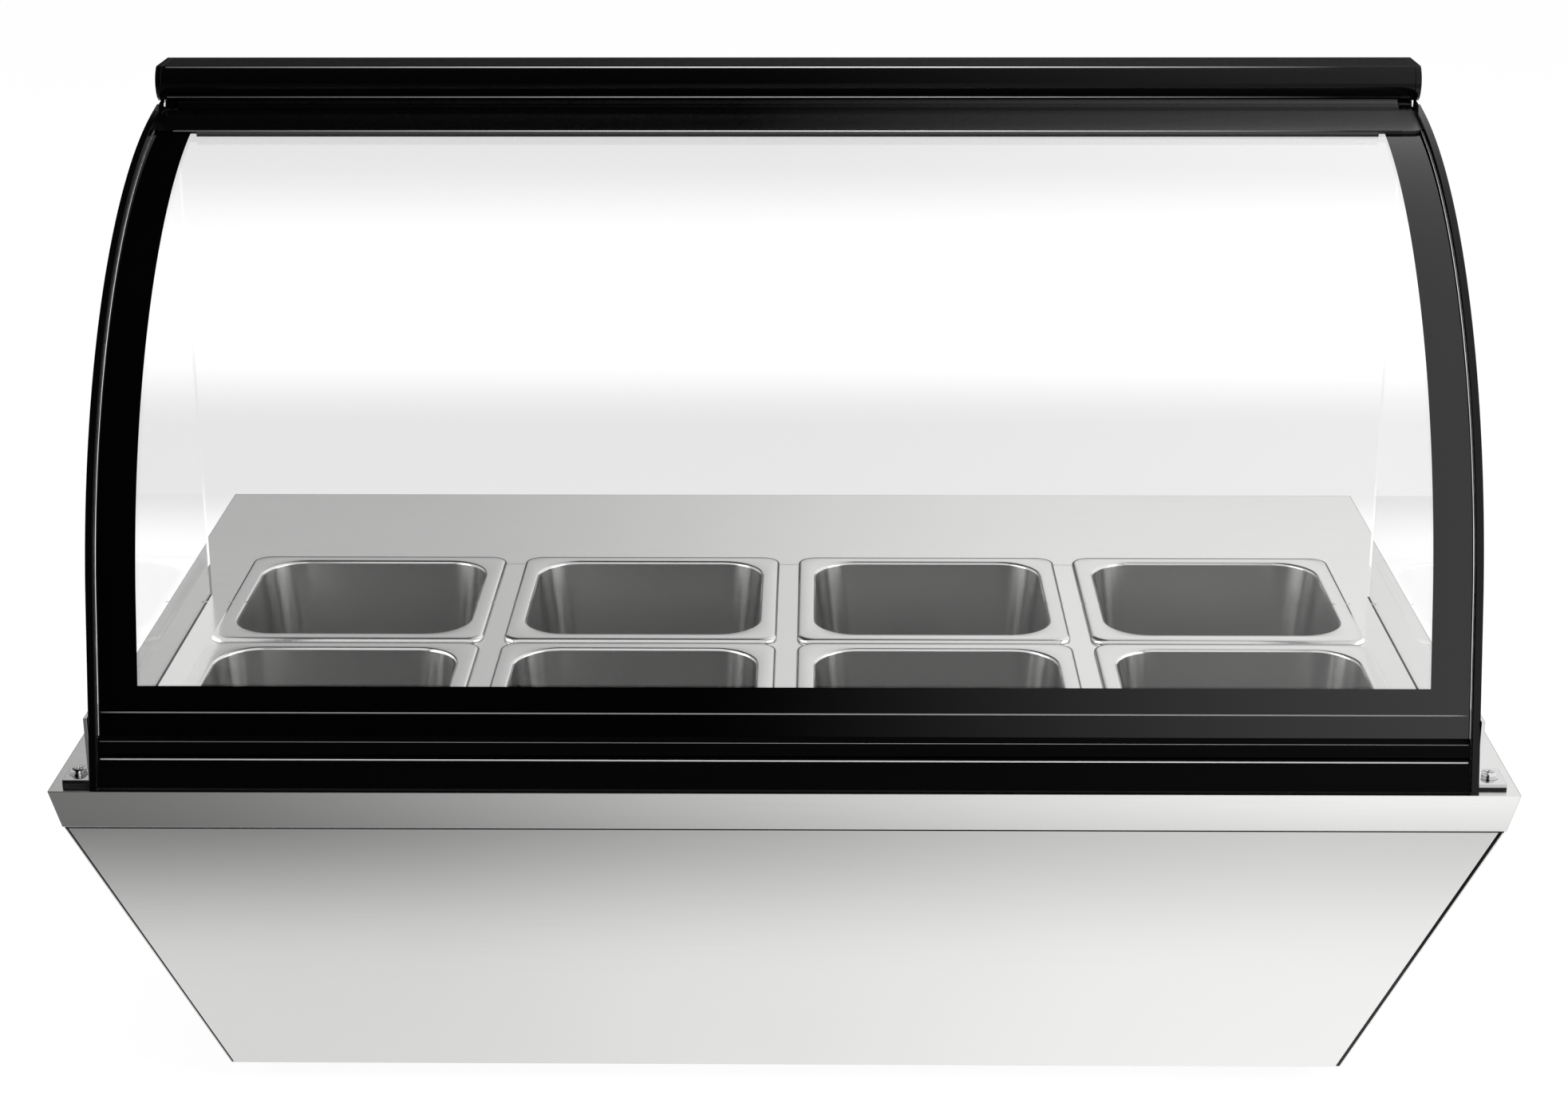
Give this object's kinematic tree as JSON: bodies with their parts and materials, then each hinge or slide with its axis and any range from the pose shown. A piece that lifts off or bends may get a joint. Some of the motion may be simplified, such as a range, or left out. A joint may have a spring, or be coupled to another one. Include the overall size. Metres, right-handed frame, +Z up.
{
  "type": "ice cream dipping cabinet",
  "caption": "Countertop dipping cabinet: leaning steel casing, lift-out pans in a cold well, and a curved glass front that tips up from a black top bar.",
  "frame": {"origin": "middle of the footprint box, on the plane the rubber feet stand on", "axes": "+X to the right along the counter, +Y from the curved glass to the rear panel, +Z up; the front faces -Y"},
  "size_m": [0.824, 0.5508, 0.586],
  "materials": {
    "counter_steel": "fine brushed",
    "panel_steel": "fine brushed",
    "tray_steel": "mill finish",
    "pan_steel": "satin",
    "liner_steel": "satin",
    "polished_steel": "polished",
    "black_rubber": "matt",
    "white_foam": "rigid foam",
    "clear_glass": "clear",
    "black_aluminium": "gloss black",
    "black_plastic": "semi gloss",
    "knob_plastic": "fine texture",
    "rocker_plastic": "gloss",
    "black_enamel": "satin black",
    "copper_tube": "bright drawn",
    "fin_aluminium": "mill finish"
  },
  "bodies": {
    "cabinet": {"counter_top": "counter_steel", "divider_left": "counter_steel", "divider_centre": "counter_steel", "divider_right": "counter_steel", "front_panel": "panel_steel", "side_panel_left": "panel_steel", "side_panel_right": "panel_steel", "rear_panel": "panel_steel", "base_tray": "tray_steel", "compartment_wall": "tray_steel", "bar_clips": "tray_steel", "well_liner": "liner_steel", "foot_bracket_left": "polished_steel", "foot_bracket_right": "polished_steel", "bracket_screws": "polished_steel", "foot_bolts": "polished_steel", "rubber_feet": "black_rubber", "sill_gasket": "black_rubber", "bracket_pads": "black_rubber", "compressor_mounts": "black_rubber", "foam_insulation": "white_foam", "side_glass_left": "clear_glass", "side_glass_right": "clear_glass", "top_bar": "black_aluminium", "end_cap_left": "black_plastic", "end_cap_right": "black_plastic", "side_trim_left": "black_plastic", "side_trim_right": "black_plastic", "fan_frame": "black_plastic", "thermostat_body": "black_plastic", "switch_housing": "black_plastic", "power_inlet": "black_plastic", "terminal_box": "black_plastic", "compressor": "black_enamel", "accumulator": "black_enamel", "fan_motor": "black_enamel", "evaporator_coil": "copper_tube", "suction_line": "copper_tube", "liquid_line": "copper_tube", "discharge_line": "copper_tube", "condenser_outlet": "copper_tube", "filter_drier": "copper_tube", "condenser_coil": "fin_aluminium"},
    "front_glass": {"front_pane": "clear_glass", "clamp_strip": "black_aluminium", "strip_gasket": "black_rubber", "bottom_profile": "black_aluminium"},
    "fan": {"fan_blade": "black_plastic"},
    "knob": {"thermostat_knob": "knob_plastic"},
    "rocker": {"switch_rocker": "rocker_plastic"},
    "lift_out_pan_1": {"pan_1": "pan_steel"},
    "lift_out_pan_2": {"pan_2": "pan_steel"},
    "lift_out_pan_3": {"pan_3": "pan_steel"},
    "lift_out_pan_4": {"pan_4": "pan_steel"},
    "lift_out_pan_5": {"pan_5": "pan_steel"},
    "lift_out_pan_6": {"pan_6": "pan_steel"},
    "lift_out_pan_7": {"pan_7": "pan_steel"},
    "lift_out_pan_8": {"pan_8": "pan_steel"}
  },
  "joints": [
    {"name": "glass_hinge", "type": "hinge", "parent": "cabinet", "child": "front_glass", "pos_m": [0, 0.01389, 0.56316], "axis": [-1, 0, 0], "range_deg": [0, 60]},
    {"name": "fan_spin", "type": "hinge", "parent": "cabinet", "child": "fan", "pos_m": [-0.19, 0.22455, 0.0797], "axis": [0, 1, 0], "continuous": true},
    {"name": "thermostat_turn", "type": "hinge", "parent": "cabinet", "child": "knob", "pos_m": [0.026, 0.25995, 0.115], "axis": [0, 1, 0], "range_deg": [0, 270]},
    {"name": "switch_tilt", "type": "hinge", "parent": "cabinet", "child": "rocker", "pos_m": [-0.036, 0.25955, 0.115], "axis": [0, 0, -1], "range_deg": [0, 18]},
    {"name": "pan_1_lift", "type": "slide", "parent": "cabinet", "child": "lift_out_pan_1", "axis": [0, 0, 1], "range_m": [0, 0.115]},
    {"name": "pan_2_lift", "type": "slide", "parent": "cabinet", "child": "lift_out_pan_2", "axis": [0, 0, 1], "range_m": [0, 0.115]},
    {"name": "pan_3_lift", "type": "slide", "parent": "cabinet", "child": "lift_out_pan_3", "axis": [0, 0, 1], "range_m": [0, 0.115]},
    {"name": "pan_4_lift", "type": "slide", "parent": "cabinet", "child": "lift_out_pan_4", "axis": [0, 0, 1], "range_m": [0, 0.115]},
    {"name": "pan_5_lift", "type": "slide", "parent": "cabinet", "child": "lift_out_pan_5", "axis": [0, 0, 1], "range_m": [0, 0.115]},
    {"name": "pan_6_lift", "type": "slide", "parent": "cabinet", "child": "lift_out_pan_6", "axis": [0, 0, 1], "range_m": [0, 0.115]},
    {"name": "pan_7_lift", "type": "slide", "parent": "cabinet", "child": "lift_out_pan_7", "axis": [0, 0, 1], "range_m": [0, 0.115]},
    {"name": "pan_8_lift", "type": "slide", "parent": "cabinet", "child": "lift_out_pan_8", "axis": [0, 0, 1], "range_m": [0, 0.115]}
  ]
}
